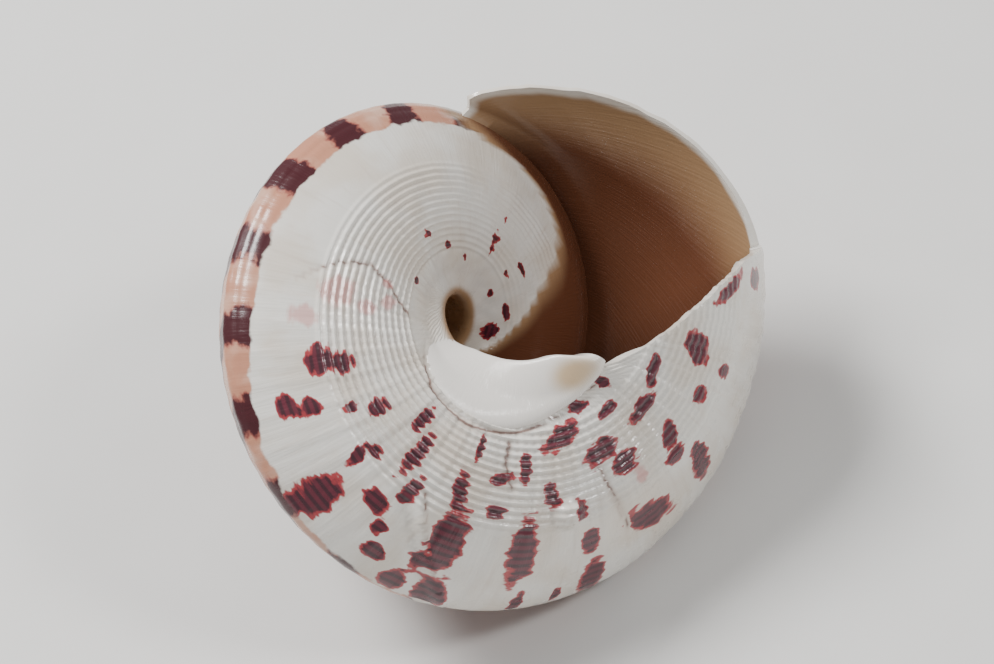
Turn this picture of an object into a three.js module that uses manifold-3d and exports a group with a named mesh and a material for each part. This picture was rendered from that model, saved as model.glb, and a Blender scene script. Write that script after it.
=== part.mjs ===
// Top shell: one empty sea-snail shell with a conical spire, lying on its side.
import * as THREE from 'three';
import Module from 'manifold-3d';

const wasm = await Module();
wasm.setup();

// Driving dimensions: millimetres along lines, degrees round the coiling axis
const LIP_RADIUS = 30;            // axis to the edge of the last whorl, where the outer lip ends
const SPIRE_HEIGHT = 42;          // apex to that edge, along the axis
const GROWTH_PER_TURN = 1.43;     // each whorl is this much larger than the one before
const SPIRE_POWER = 1.6;          // above 1 the sides of the spire bulge
const TURNS = 7;
const WALL = 1.3;                 // shell wall at the last whorl
const LIP_EDGE = 0.6;             // wall at the broken edge of the outer lip
const LIP_TAPER = 35;             // the wall thins over this much of the last turn
const WORN_INSIDE = 0.3;          // taken off the whorl before, inside the mouth
const SUTURE_ROOT = 1;            // each whorl grows out of the one before from this far inside its edge
const ROOT_DEPTH = 2.5;           // and runs on inside its base at this depth
const ROOT_SETBACK = 30;          // and ends this far behind the mouth
const SIDE_BULGE = 0.05;          // roundness of a whorl's side
const SIDE_SHOULDER = 0.45;       // where along the side that roundness is pulled out
const EDGE_ROUND = 1.5;           // half height of the rounded edge between side and base
const BASE_SAG = 5.1;             // base below the edge, at the inner end of its curve
const BASE_CURVE_RADIUS = 7.5;    // inner end of the base's curve
const BASE_PULL_ACROSS = 0.62;    // the base's curve is pulled towards this share of the lip radius
const BASE_PULL_SAG = 1.55;       // and this share of the sag
const PIT_RADIUS = 4.4;           // umbilical pit at the last whorl
const PIT_EDGE_ROUND = 1.2;       // rounded edge between the base and the pit's wall
const PIT_OVERLAP = 0.8;          // the pit's wall ends this far inside the whorl before
const PIT_PLUG = 10;              // pit depth under the base of the whorl before
const CAVITY_TURNS = 2.2;         // how far the hollow is followed inwards
const COLUMELLA_RADIUS = 6.4;     // pillar round the pit, inside the mouth
const COLUMELLA_END_RADIUS = 2.6; // hidden under the callus where the pillar leaves the mouth
const COLUMELLA_LEAVES = [-150, -60]; // growth angles between which it does

// Where the mouth's edge ends, as growth angles past the reference half plane
const LIP_AT_EDGE = 10;
const LIP_AT_SUTURE = 82;
const LIP_BEND = 1.05;            // above 1 the outer lip runs slightly hollow
const MOUTH_OVERSHOOT = 23;       // the cut for the hollow runs on past the lip by this angle

// A point in the hollow behind the mouth and one in front of it: distance, depth, growth angle
const INSIDE_MOUTH = [26, 40, -25];
const OUTSIDE_MOUTH = [19, 58, 45];

// Inner part of the basal lip: [distance from the axis, growth angle]
const BASAL_LIP = [
  [22.6, 10],
  [18.1, 6],
  [14.4, -1],
  [11.6, -11],
  [9.5, -23],
  [7.8, -37],
  [6.0, -60],
  [4.4, -120],
];

// Inner edge of the mouth, on the base of the whorl before: [distance from the axis, growth angle]
const PARIETAL_EDGE = [
  [5.6, -24],
  [8.5, 0],
  [11.8, 18],
  [15.0, 25],
  [17.1, 34],
  [18.1, 50],
  [18.6, 72],
  [20.9, 86],
];

const CALLUS_SETTLE = 0.2;        // its middle lies this far under the base

// Porcelain callus on the columella: [growth angle, inner radius, outer radius, rise, sink]
const CALLUS = [
  [-186, 5.6, 7.6, 0.1, 1.0],
  [-170, 4.9, 9.2, 0.3, 1.6],
  [-150, 3.7, 11.0, 0.5, 2.2],
  [-125, 3.4, 11.5, 0.6, 2.4],
  [-100, 3.4, 10.7, 0.7, 2.6],
  [-75, 3.5, 9.3, 0.8, 2.8],
  [-56, 3.6, 8.7, 0.9, 2.8],
  [-46, 4.1, 8.4, 1.0, 2.8],
  [-38, 4.8, 8.1, 1.3, 2.8],
  [-32, 5.5, 7.8, 1.4, 2.4],
  [-28, 6.0, 7.2, 0.8, 1.4],
];

// Resting pose: spin about the shell's own axis, then lay the axis over
const LYING_SPIN = 38.73;
const LYING_TILT = -124.13;
const LYING_YAW = 36.95;

const SIDE_POINTS = 8;
const BASE_POINTS = 14;
const CALLUS_POINTS = 12;
const STRETCH = 240;              // the spire is built in stretches of this angle
const STEP = 15;                  // angle between its rings
const LAST_STRETCH_STEPS = 36;
const CAVITY_STEPS = 62;
const CORE_SIDES = 14;
const CORE_LEVELS = 7;
const CORE_TIP = 0.06;            // the pillar's tip, as a share of its bottom
const CORE_WIDTH = 1.5;           // its bottom, in pit radii

// Shares along the side, the base and the whorl before, where lines of the mesh run
const SIDE_LINES = [0.2, 0.35, 0.5, 0.65, 0.8];
const BASE_LINES = [0.2, 0.32, 0.45, 0.6, 0.75, 0.88, 1];
const PARIETAL_LINES = [0.4, 0.56, 0.7, 0.8, 0.86, 0.94];
const ROOT_SHARES = [0.5, 0.7, 0.85];

// A point of the shell: distances at full size, carried back to a growth angle
function shellPoint(across, down, angle) {
  const size = GROWTH_PER_TURN ** (angle / 360);
  const turn = -THREE.MathUtils.degToRad(angle);
  const depth = SPIRE_HEIGHT * (size * down / SPIRE_HEIGHT) ** SPIRE_POWER;
  return new THREE.Vector3(
    size * across * Math.cos(turn),
    size * across * Math.sin(turn),
    -depth,
  );
}

function interpolate(table, at, column) {
  const rising = table[0][0] < table[table.length - 1][0];
  const rows = rising ? table : [...table].reverse();
  if (at <= rows[0][0]) return rows[0][column];
  for (let i = 1; i < rows.length; i += 1) {
    if (at <= rows[i][0]) {
      const share = (at - rows[i - 1][0]) / (rows[i][0] - rows[i - 1][0]);
      return THREE.MathUtils.lerp(rows[i - 1][column], rows[i][column], share);
    }
  }
  return rows[rows.length - 1][column];
}

// Outline of a whorl at full size, x away from the axis and y down from the apex
const suture = new THREE.Vector2(LIP_RADIUS, SPIRE_HEIGHT).divideScalar(GROWTH_PER_TURN);
const edge = new THREE.Vector2(LIP_RADIUS, SPIRE_HEIGHT);
const fall = edge.clone().sub(suture);
const sideCurve = new THREE.CubicBezierCurve(
  suture,
  new THREE.Vector2(
    suture.x + SIDE_SHOULDER * fall.x + SIDE_BULGE * fall.y,
    suture.y + SIDE_SHOULDER * fall.y - SIDE_BULGE * fall.x,
  ),
  new THREE.Vector2(edge.x, edge.y - EDGE_ROUND),
  edge,
);
const baseCurve = new THREE.CubicBezierCurve(
  edge,
  new THREE.Vector2(edge.x, edge.y + EDGE_ROUND),
  new THREE.Vector2(BASE_PULL_ACROSS * LIP_RADIUS, edge.y + BASE_PULL_SAG * BASE_SAG),
  new THREE.Vector2(BASE_CURVE_RADIUS, edge.y + BASE_SAG),
);

// Depth of the base at a distance from the axis
function baseDepth(across) {
  if (across <= BASE_CURVE_RADIUS) return edge.y + BASE_SAG;
  let low = 0;
  let high = 1;
  for (let i = 0; i < 30; i += 1) {
    const middle = (low + high) / 2;
    if (baseCurve.getPoint(middle).x > across) low = middle;
    else high = middle;
  }
  return baseCurve.getPoint(low).y;
}

// The whorl before has the same base, one turn smaller
function baseDepthBefore(across) {
  return baseDepth(Math.min(across * GROWTH_PER_TURN, LIP_RADIUS)) / GROWTH_PER_TURN;
}

function inwardNormal(curve, t) {
  const tangent = curve.getTangent(t);
  return new THREE.Vector2(-tangent.y, tangent.x);
}

function sideLipAngle(t) {
  return THREE.MathUtils.lerp(LIP_AT_SUTURE, LIP_AT_EDGE, t ** LIP_BEND);
}

function baseLipAngle(across) {
  return interpolate(BASAL_LIP, across, 1);
}

// Solid between rings of points; the outline triangulates the end caps, or the far end runs to a tip
function loft(rings, outline, tip = null) {
  const count = outline.length;
  const points = tip ? [...rings.flat(), tip] : rings.flat();
  const vertices = points.flatMap((point) => point.toArray());
  const triangles = [];
  for (let i = 0; i + 1 < rings.length; i += 1) {
    for (let j = 0; j < count; j += 1) {
      const next = (j + 1) % count;
      const a = i * count + j;
      const b = i * count + next;
      triangles.push(a, b, a + count, b, b + count, a + count);
    }
  }
  const last = (rings.length - 1) * count;
  const windsBack = THREE.ShapeUtils.isClockWise(outline);
  for (const [a, b, c] of THREE.ShapeUtils.triangulateShape(outline, [])) {
    const near = windsBack ? [a, b, c] : [c, b, a];
    triangles.push(...near);
    if (!tip) triangles.push(...near.toReversed().map((index) => last + index));
  }
  for (let j = 0; tip && j < count; j += 1) {
    triangles.push(last + j, last + (j + 1) % count, points.length - 1);
  }
  const solid = solidFrom(vertices, triangles);
  return solid.volume() > 0 ? solid : solidFrom(vertices, triangles.reverse());
}

function solidFrom(vertices, triangles) {
  return new wasm.Manifold(new wasm.Mesh({
    numProp: 3,
    vertProperties: new Float32Array(vertices),
    triVerts: new Uint32Array(triangles),
  }));
}

// Outline of a filled whorl: its side, its base, the pit's wall, and a way back inside the whorl before
function whorlOutline(sidePoints, basePoints) {
  const outline = [{ across: suture.x - SUTURE_ROOT, down: suture.y, lip: LIP_AT_SUTURE }];
  for (let i = 1; i < sidePoints; i += 1) {
    const t = i / sidePoints;
    const point = sideCurve.getPoint(t);
    outline.push({ across: point.x, down: point.y, lip: sideLipAngle(t) });
  }
  for (let i = 0; i <= basePoints; i += 1) {
    const point = baseCurve.getPoint(i / basePoints);
    outline.push({ across: point.x, down: point.y, lip: baseLipAngle(point.x) });
  }
  const baseLevel = edge.y + BASE_SAG;
  const pitLip = BASAL_LIP[BASAL_LIP.length - 1][1];
  outline.push({ across: PIT_RADIUS + PIT_OVERLAP, down: baseLevel - CALLUS_SETTLE, lip: pitLip });
  outline.push({ across: PIT_RADIUS, down: baseLevel - PIT_EDGE_ROUND, lip: pitLip });
  outline.push({
    across: PIT_RADIUS / GROWTH_PER_TURN + PIT_OVERLAP,
    down: baseLevel / GROWTH_PER_TURN - 2,
    lip: pitLip,
  });
  for (const share of ROOT_SHARES) {
    const across = share * suture.x;
    outline.push({
      across,
      down: baseDepthBefore(across) - ROOT_DEPTH,
      lip: interpolate(PARIETAL_EDGE, across, 1) - ROOT_SETBACK,
    });
  }
  return outline;
}

function flat(outline) {
  return outline.map((point) => new THREE.Vector2(point.across, point.down));
}

function ringAt(outline, angleOf) {
  return outline.map((point) => shellPoint(point.across, point.down, angleOf(point)));
}

// A stretch of filled whorl, one step longer than its share, so that it grows into the next
function whorlStretch(outline, from) {
  const rings = [];
  for (let angle = from; angle <= from + STRETCH + STEP; angle += STEP) {
    rings.push(ringAt(outline, () => angle));
  }
  return loft(rings, flat(outline));
}

// The last stretch runs out to the mouth's slanting edge and is hollow from there inwards
function lastStretch(outline) {
  const rings = [ringAt(outline, () => -STRETCH)];
  for (let i = 0; i <= LAST_STRETCH_STEPS; i += 1) {
    const share = i / LAST_STRETCH_STEPS;
    rings.push(ringAt(outline, (point) => THREE.MathUtils.lerp(STEP - STRETCH, point.lip, share)));
  }
  return loft(rings, flat(outline), shellPoint(...INSIDE_MOUTH));
}

// Filled spire: stretches of less than one turn each, so that no stretch crosses itself
function filledSpire() {
  const fine = whorlOutline(SIDE_POINTS, BASE_POINTS);
  const coarse = whorlOutline(SIDE_POINTS, BASE_POINTS / 2);
  let spire = lastStretch(fine).add(whorlStretch(fine, -2 * STRETCH));
  for (let from = -3 * STRETCH; from > -360 * TURNS; from -= STRETCH) {
    spire = spire.add(whorlStretch(coarse, from));
  }
  return spire.add(spireCore());
}

// Pillar that closes the axial hole above the umbilical pit
function spireCore() {
  const bottom = (edge.y + BASE_SAG) / GROWTH_PER_TURN - PIT_PLUG;
  const outline = [];
  for (let j = 0; j < CORE_SIDES; j += 1) {
    const angle = 2 * Math.PI * j / CORE_SIDES;
    outline.push(new THREE.Vector2(Math.cos(angle), Math.sin(angle)));
  }
  const rings = [];
  for (let i = 0; i <= CORE_LEVELS; i += 1) {
    const share = THREE.MathUtils.lerp(CORE_TIP, 1, i / CORE_LEVELS);
    const radius = CORE_WIDTH * PIT_RADIUS * share;
    const depth = SPIRE_HEIGHT * (share * bottom / SPIRE_HEIGHT) ** SPIRE_POWER;
    rings.push(outline.map((point) => new THREE.Vector3(radius * point.x, radius * point.y, -depth)));
  }
  return loft(rings, outline);
}

function wallAt(angle, lip) {
  const thinning = THREE.MathUtils.smoothstep(angle, lip - LIP_TAPER, lip);
  return THREE.MathUtils.lerp(WALL, LIP_EDGE, thinning);
}

function columellaAt(angle) {
  const leaving = THREE.MathUtils.smoothstep(angle, ...COLUMELLA_LEAVES);
  return THREE.MathUtils.lerp(COLUMELLA_RADIUS, COLUMELLA_END_RADIUS, leaving);
}

// Lines along the hollow; each gives its place in the outline at a growth angle
function cavityLines() {
  const lines = [];
  const addWallLine = (curve, t, lip) => {
    const point = curve.getPoint(t);
    const normal = inwardNormal(curve, t);
    lines.push({
      end: lip + MOUTH_OVERSHOOT,
      place: (angle) => point.clone().addScaledVector(normal, wallAt(angle, lip)),
    });
  };
  for (const t of SIDE_LINES) {
    addWallLine(sideCurve, t, sideLipAngle(t));
  }
  for (const t of BASE_LINES) {
    addWallLine(baseCurve, t, baseLipAngle(baseCurve.getPoint(t).x));
  }
  const pillarEnd = PARIETAL_EDGE[0][1];
  lines.push({
    end: pillarEnd,
    place: (angle) => new THREE.Vector2(columellaAt(angle), edge.y + BASE_SAG - WALL),
  });
  lines.push({
    end: pillarEnd,
    place: (angle) => new THREE.Vector2(
      columellaAt(angle),
      baseDepthBefore(columellaAt(angle)) - WORN_INSIDE,
    ),
  });
  for (const share of PARIETAL_LINES) {
    const across = share * suture.x;
    lines.push({
      end: interpolate(PARIETAL_EDGE, across, 1),
      place: () => new THREE.Vector2(across, baseDepthBefore(across) - WORN_INSIDE),
    });
  }
  return lines;
}

// Hollow that the animal left: a coiled tube from the mouth inwards
function cavity() {
  const from = -360 * CAVITY_TURNS;
  const lines = cavityLines();
  const rings = [];
  for (let i = 0; i <= CAVITY_STEPS; i += 1) {
    rings.push(lines.map((line) => {
      const angle = THREE.MathUtils.lerp(from, line.end, i / CAVITY_STEPS);
      const point = line.place(angle);
      return shellPoint(point.x, point.y, angle);
    }));
  }
  return loft(rings, lines.map((line) => line.place(from)), shellPoint(...OUTSIDE_MOUTH));
}

// Callus: a smooth crescent over the columella that ends in a blunt tooth
function callus() {
  const rings = [];
  let outline = [];
  for (const [angle, inner, outer, rise, sink] of CALLUS) {
    outline = [];
    for (let k = 0; k < CALLUS_POINTS; k += 1) {
      const round = 2 * Math.PI * k / CALLUS_POINTS;
      const across = (inner + outer) / 2 + (outer - inner) / 2 * Math.cos(round);
      const height = Math.sin(round) > 0 ? rise : sink;
      outline.push(new THREE.Vector2(across, baseDepth(across) - CALLUS_SETTLE + height * Math.sin(round)));
    }
    rings.push(outline.map((point) => shellPoint(point.x, point.y, angle)));
  }
  return loft(rings, outline);
}

// Cutting leaves crumbs behind; the shell is the largest body
function largestBody(solid) {
  const bodies = solid.decompose();
  return bodies.reduce((best, body) => (body.volume() > best.volume() ? body : best));
}

function meshOf(solid, name, material) {
  const { vertProperties, triVerts } = solid.getMesh();
  const geometry = new THREE.BufferGeometry();
  geometry.setAttribute('position', new THREE.BufferAttribute(vertProperties, 3));
  geometry.setIndex(new THREE.BufferAttribute(triVerts, 1));
  geometry.computeVertexNormals();
  const mesh = new THREE.Mesh(geometry, material);
  mesh.name = name;
  return mesh;
}

const shellMaterial = new THREE.MeshStandardMaterial({ color: 0xd9d2c6, roughness: 0.35, metalness: 0 });
const shellSolid = largestBody(filledSpire().subtract(cavity()).add(callus()));
const shell = meshOf(shellSolid, 'shell', shellMaterial);

// Lay the shell on its side, with the middle of its footprint on the origin
const lying = new THREE.Group();
lying.rotation.set(
  THREE.MathUtils.degToRad(LYING_TILT),
  0,
  THREE.MathUtils.degToRad(LYING_YAW),
  'ZYX',
);
shell.rotation.z = THREE.MathUtils.degToRad(LYING_SPIN);
lying.add(shell);
lying.updateMatrixWorld(true);
const box = new THREE.Box3().setFromObject(lying, true);
const middle = box.getCenter(new THREE.Vector3());
lying.position.set(-middle.x, -middle.y, -box.min.z);

export default lying;
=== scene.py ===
"""An empty top shell lying on its side, seen on its base and its open mouth.

The shell is modelled the way it grew: one outline of a whorl is carried along a growing helix.
Angles are degrees of growth, and lengths are millimetres at growth angle 0, a little behind the
place where the outer lip meets the shell's edge.
"""
import math

import bpy
import numpy as np
from mathutils import Matrix, Vector


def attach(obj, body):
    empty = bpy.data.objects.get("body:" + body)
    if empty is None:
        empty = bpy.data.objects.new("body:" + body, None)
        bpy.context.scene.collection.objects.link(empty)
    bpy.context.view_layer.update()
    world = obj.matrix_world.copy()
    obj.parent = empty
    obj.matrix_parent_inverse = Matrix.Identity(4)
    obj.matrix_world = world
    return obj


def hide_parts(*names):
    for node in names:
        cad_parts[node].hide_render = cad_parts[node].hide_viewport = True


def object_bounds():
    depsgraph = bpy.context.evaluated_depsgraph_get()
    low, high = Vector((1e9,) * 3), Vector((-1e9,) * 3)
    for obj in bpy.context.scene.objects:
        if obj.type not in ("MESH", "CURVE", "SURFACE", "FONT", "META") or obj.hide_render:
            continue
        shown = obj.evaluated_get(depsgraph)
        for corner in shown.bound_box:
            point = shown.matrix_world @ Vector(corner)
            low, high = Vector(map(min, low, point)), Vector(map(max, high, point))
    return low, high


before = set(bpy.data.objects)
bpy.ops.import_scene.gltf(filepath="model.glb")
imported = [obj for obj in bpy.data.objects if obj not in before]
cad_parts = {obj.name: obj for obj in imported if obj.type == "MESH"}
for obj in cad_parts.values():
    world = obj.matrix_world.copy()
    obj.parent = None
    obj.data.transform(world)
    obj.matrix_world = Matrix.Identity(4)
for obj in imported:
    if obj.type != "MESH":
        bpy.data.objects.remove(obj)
cad_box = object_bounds()

# Size and growth of the shell
MM = 0.001
LIP_RADIUS = 30.0
SPIRE_HEIGHT = 42.0
GROWTH_PER_TURN = 1.43
SPIRE_POWER = 1.6
TURNS = 7.0
WALL = 1.3
SIDE_BULGE = 0.05
SIDE_SHOULDER = 0.45
EDGE_ROUND = 1.5
BASE_SAG = 5.1
BASE_LEVEL = SPIRE_HEIGHT + BASE_SAG
BASE_PULL_ACROSS = 0.62
BASE_PULL_SAG = 1.55
BASE_CURVE_RADIUS = 7.5
SUTURE_ROOT = 1.0
INNER_ROOT = (-0.9, 0.7)

# Pit along the axis and pillar round it: each wall as steps out from its radius and in from the base
PIT_RADIUS = 4.4
PIT_ROUND = 0.8
PIT_OVERLAP = 2.0
PIT_DEPTH = BASE_LEVEL - BASE_LEVEL / GROWTH_PER_TURN + PIT_OVERLAP
PIT_WALL = ((0.3, 0.4), (0, 1.1), (-0.1, 3), (-0.2, 6), (-0.35, 11.1), (-0.5, PIT_DEPTH))
COLUMELLA_RADIUS = 6.4
PILLAR_ROUND = 1.2
PILLAR_WALL = ((0.5, 1.8), (0.1, 2.6), (0, 5), (-0.1, 8.1), (-0.3, 12.1), (-0.5, 14.9))
PLUG_RADIUS = 1.5 * PIT_RADIUS
PLUG_TIP = 0.3
PLUG_DEPTH = 15.9
PLUG_SIDES = 32

# Mouth: growth angles at which its edge ends, by distance from the axis
LIP_AT_EDGE = 10.0
LIP_AT_SUTURE = 82.0
LIP_BEND = 1.05
BASAL_LIP_ACROSS = (4.4, 6.0, 7.8, 9.5, 11.6, 14.4, 18.1, 22.6, 30.0)
BASAL_LIP_ANGLE = (-120, -60, -37, -23, -11, -1, 6, 10, 10)
PILLAR_TOP_ANGLE = -60.0
PARIETAL_ACROSS = (3.9, 5.6, 8.5, 11.8, 15.0, 17.1, 18.1, 18.6, 20.9)
PARIETAL_ANGLE = (-45, -24, 0, 18, 25, 34, 50, 72, 86)

# Outer lip: each break is its place along the side, how far back it goes and its half width
LIP_BREAKS = ((0.02, 7.0, 0.05), (0.33, 0.7, 0.03), (0.55, 0.5, 0.02), (0.8, 0.8, 0.03))
LIP_RAGGED = 0.12
LIP_RAGGED_WAVES = 2.2
LIP_RAGGED_SEED = 1.3
LIP_RAGGED_START = (0.0, 4.0)
LIP_SETBACK = 0.25
LIP_THICKENS_OVER = 30.0
LIP_WHITE = (0.5, 2.5)
RIM_WHITE = (0.6, 2.5)
# Growth angle over which the mouth's nacre turns brown: partly its own colour, partly painted shade deep
# in the mouth
MOUTH_BROWN_AND_SHADE_OVER = 60.0

# Thickness of the lip, by outline points counted from the end of the side
LIP_THICKNESS_AT = (-41, -26, -8, 0, 25)
LIP_THICKNESS = (0.3, 0.35, 0.95, 1.1, 0.5)

# Glaze that the mouth lays over the base of the whorl before it; past its edge it is painted brown as
# shade where the wall turns away from the light
GLAZE_FADE = (0.0, 3.0)
GLAZE_HEIGHT = 0.22
GLAZE_SHADED_OVER = 35.0

# Resting pose, as the shell lies
LYING_SPIN = 38.73
LYING_TILT = -124.13
LYING_YAW = 36.95

# Camera: lean of the base away from the lens, turn of the lip about the axis, and the axis in the picture
BASE_LEAN = 31.3
BASE_LEAN_TURN = 2.9
LIP_TURN = 6.9
CAMERA_DISTANCE = 9 * LIP_RADIUS
CAMERA_SENSOR = 36.0
CAMERA_CLIP = 0.01
PHOTO_WIDTH = 994
PHOTO_HEIGHT = 664
PIXELS_PER_LIP_RADIUS = 314.3
AXIS_PIXEL_X = 510.2
AXIS_PIXEL_Y = 327.9

# Lights: direction is right, up and towards the lens; metres and watts
KEY_LIGHT = {"direction": (-0.75, 0.8, 0.5), "distance": 0.5, "size": 0.22, "power": 4.0}
GLINT_LIGHT = {"direction": (0.5, 0.35, 0.8), "distance": 0.6, "size": 0.1, "power": 1.6}
LIGHTS_AIM = (0, 0, 0.02)
SKY_STRENGTH = 0.4
FLOOR_SIZE = 4.0

# Spiral cords on the base, and how strong they are along the growth
CORD_FIRST = 10.9
CORD_LAST = 21.8
CORD_FADE = 1.0
CORD_TAIL = 0.6
CORD_PITCH = 0.83
CORD_HEIGHT = 0.22
CORD_SHARPNESS = 1.3
CORD_STRENGTH_ANGLE = (-330, -240, -200, -120, -60, 0)
CORD_STRENGTH = (0.35, 0.7, 1.0, 1.0, 0.6, 0.4)
# How strong the painted shade in the grooves between the cords is
GROOVE_SHADE_SHARE = 0.6

# Growth lines: height, waves per degree and per millimetre, and the slant over the side
GROWTH_LINE_HEIGHT = 0.05
GROWTH_LINES_PER_DEGREE = 0.21
GROWTH_LINES_PER_MM = 0.05
GROWTH_LINE_SEED = 0.7
SIDE_SLANT = 45.0

# Beaded ridges on the side, and how far the side's colours reach over the edge
RIDGE_PITCH = 1.25
RIDGE_HEIGHT = 0.14
RIDGE_SHARPNESS = 1.5
RIDGE_START = (1.0, 2.5)
BEAD_SHARE = 0.25
BEADS_PER_RADIAN = 62
SIDE_FADE = (-0.8, 2.2)
SIDE_REACH_ANGLE = (-260, -230, -186, -164, -145, -107, -60)
SIDE_REACH = (3.0, 3.0, 2.2, 0.9, 0.0, -0.6, -1.6)

# Healed scar: a ridge with a dip beside it
SCAR_ANGLE = (-127, -121, -115, -106)
SCAR_ACROSS = (21.0, 23.5, 26.0, 30.0)
SCAR_START = (20.5, 22.5)
SCAR_HEIGHT = 0.5
SCAR_WIDTH = 0.8
SCAR_DIP = 0.35
SCAR_DIP_OFF = 1.7
SCAR_DIP_WIDTH = 0.9

# Blister on the base
BLISTER_ANGLE = -81
BLISTER_ACROSS = 19.9
BLISTER_RADIUS = 2.0
BLISTER_TOP = 0.35
BLISTER_HEIGHT = 0.8

# Fine cracks: growth angles and distances from the axis, outwards
CRACKS = (
    ((-194, -208, -213, -209, -200), (10.4, 13.7, 16.8, 20.1, 24.3)),
    ((-103, -104, -100), (11.9, 14.5, 17.1)),
    ((-127, -121, -115), (20.0, 23.0, 26.0)),
    ((-68, -66, -63), (16.0, 20.0, 24.9)),
)
CRACK_FADE = 0.3
CRACK_WIDTH = 0.4
CRACK_DEPTH = 0.12

# Porcelain callus on the columella: growth angle, inner radius, outer radius, rise, sink
CALLUS = np.array((
    (-186, 5.6, 7.6, 0.1, 1.0),
    (-170, 4.9, 9.2, 0.3, 1.6),
    (-150, 3.7, 11.0, 0.5, 2.2),
    (-125, 3.4, 11.5, 0.6, 2.4),
    (-100, 3.4, 10.7, 0.7, 2.6),
    (-75, 3.5, 9.3, 0.8, 2.8),
    (-56, 3.6, 8.7, 0.9, 2.8),
    (-48, 4.1, 8.4, 1.0, 2.8),
    (-42, 4.8, 8.2, 1.3, 2.8),
    (-37, 5.4, 8.0, 1.4, 2.4),
    (-34, 5.8, 7.5, 0.9, 1.4),
))
CALLUS_INNER, CALLUS_OUTER, CALLUS_RISE, CALLUS_SINK = 1, 2, 3, 4
CALLUS_FULLNESS = 0.7
CALLUS_BED = 0.2
CALLUS_SMOOTHING = 3

# Groove along the callus's outer edge, and the tan patch on the callus
CALLUS_LINE_OFF = 0.35
CALLUS_LINE_WIDTH = 0.3
CALLUS_LINE_DEPTH = 0.15
CALLUS_LINE_START = (-185, -160)
CALLUS_LINE_END = (-50, -35)
CALLUS_PATCH_ANGLE = -56
CALLUS_PATCH_ACROSS = 6.2
CALLUS_PATCH_ALONG_WIDTH = 20
CALLUS_PATCH_ACROSS_WIDTH = 2.0

# Markings on the base: growth angle, distance from the axis, half sizes across and along, slant
MARKS = (
    (-44, 8.9, 0.8, 0.6, 0), (-27, 12.4, 0.7, 1.9, 20), (-13, 16.3, 2.0, 1.3, -35),
    (-18, 21.3, 0.9, 0.8, 0), (-27, 19.0, 1.0, 1.0, 20), (-64, 9.5, 0.7, 1.0, 0),
    (-53, 11.4, 0.6, 1.2, 20), (-42, 13.9, 0.8, 1.7, 10), (-78, 11.9, 1.0, 2.3, 30),
    (-65, 14.8, 1.2, 1.9, 25), (-59, 17.2, 1.2, 1.5, 20), (-42, 18.7, 1.8, 0.9, -30),
    (-44, 21.0, 1.0, 1.2, 0), (-39, 24.9, 2.6, 1.2, -10), (-57, 24.8, 1.5, 3.2, -20),
    (-74, 23.9, 1.3, 1.1, 0), (-73, 28.2, 1.9, 1.4, 0), (-86, 17.7, 1.4, 0.8, 10),
    (-77, 19.9, 1.2, 1.0, 0), (-96, 14.7, 1.8, 0.6, 0), (-104, 16.0, 0.7, 1.3, 10),
    (-116, 13.7, 1.6, 0.4, 0), (-117, 18.7, 2.3, 0.8, 15), (-114, 23.7, 3.4, 1.9, 0),
    (-93, 23.3, 3.6, 1.5, 0), (-104, 19.6, 0.8, 1.0, 0), (-90, 29.3, 1.4, 0.7, 0),
    (-81, 29.3, 1.0, 0.5, 0), (-110, 29.4, 1.9, 1.8, 20), (4, 19.8, 2.6, 0.8, 28),
    (5, 25.0, 1.2, 1.2, 0), (-177, 21.7, 1.4, 1.5, 0), (-175, 19.8, 1.2, 1.2, 0),
    (-165, 23.9, 1.0, 1.0, 0), (-167, 26.0, 0.9, 1.3, 0), (-161, 20.3, 0.8, 0.6, 0),
    (-157, 17.7, 1.1, 0.9, 0), (-148, 22.1, 1.4, 0.6, 20), (-146, 20.6, 0.6, 0.9, 0),
    (-143, 14.5, 1.6, 0.7, 0), (-136, 17.6, 2.4, 0.8, 0), (-130, 20.8, 1.6, 0.8, 0),
    (-135, 23.9, 0.9, 1.6, 0), (-145, 27.2, 2.0, 1.9, 0), (-146, 29.2, 0.8, 1.4, 0),
    (-130, 25.6, 0.7, 0.8, 0), (-127, 27.6, 0.8, 1.3, 0), (-119, 29.0, 0.9, 1.3, 0),
    (-117, 26.4, 1.4, 0.5, 0), (-248, 13.4, 0.6, 0.5, 0), (-261, 11.2, 0.5, 0.5, 0),
    (-280, 9.5, 0.4, 0.4, 0), (-303, 13.7, 1.7, 0.5, 0), (-306, 17.2, 0.6, 0.4, 0),
    (-330, 14.5, 0.4, 0.8, 0), (-325, 11.9, 0.4, 0.4, 0), (-328, 16.8, 0.5, 0.4, 0),
    (-328, 8.7, 0.5, 0.4, 0), (-351, 10.7, 0.5, 0.9, 0), (-365, 8.5, 1.0, 0.8, 0),
    (-220, 10.5, 0.4, 0.4, 0),
)

# Faint pink marks, laid out the same way
FAINT_MARKS = (
    (-199, 19.6, 2.0, 1.7, 0), (-190, 23.0, 1.5, 1.2, 0), (-195, 16.2, 1.2, 0.8, 0),
    (-199, 13.5, 1.0, 0.9, 0), (-56, 19.6, 1.2, 0.8, 0), (-208, 14.2, 0.8, 0.6, 0),
)
NO_MARK = -2.0
MARK_RAGGED = 1.3

# Colours, as the eye sees them from 0 to 255
WARM_WHITE = (218, 208, 194)
COOL_WHITE = (228, 224, 216)
STREAK = (206, 192, 178)
# Painted shade in the grooves between the cords
GROOVE_SHADE = (172, 150, 136)
DARK_LINE = (112, 74, 66)
PINK = (206, 132, 128)
RED = (168, 62, 66)
MAROON = (98, 40, 52)
DARK_MAROON = (66, 34, 42)
SIDE_GROUND = (190, 132, 106)
SIDE_PALE = (208, 168, 146)
SIDE_EMBER = (150, 70, 66)
FLAME = (66, 22, 28)
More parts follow.
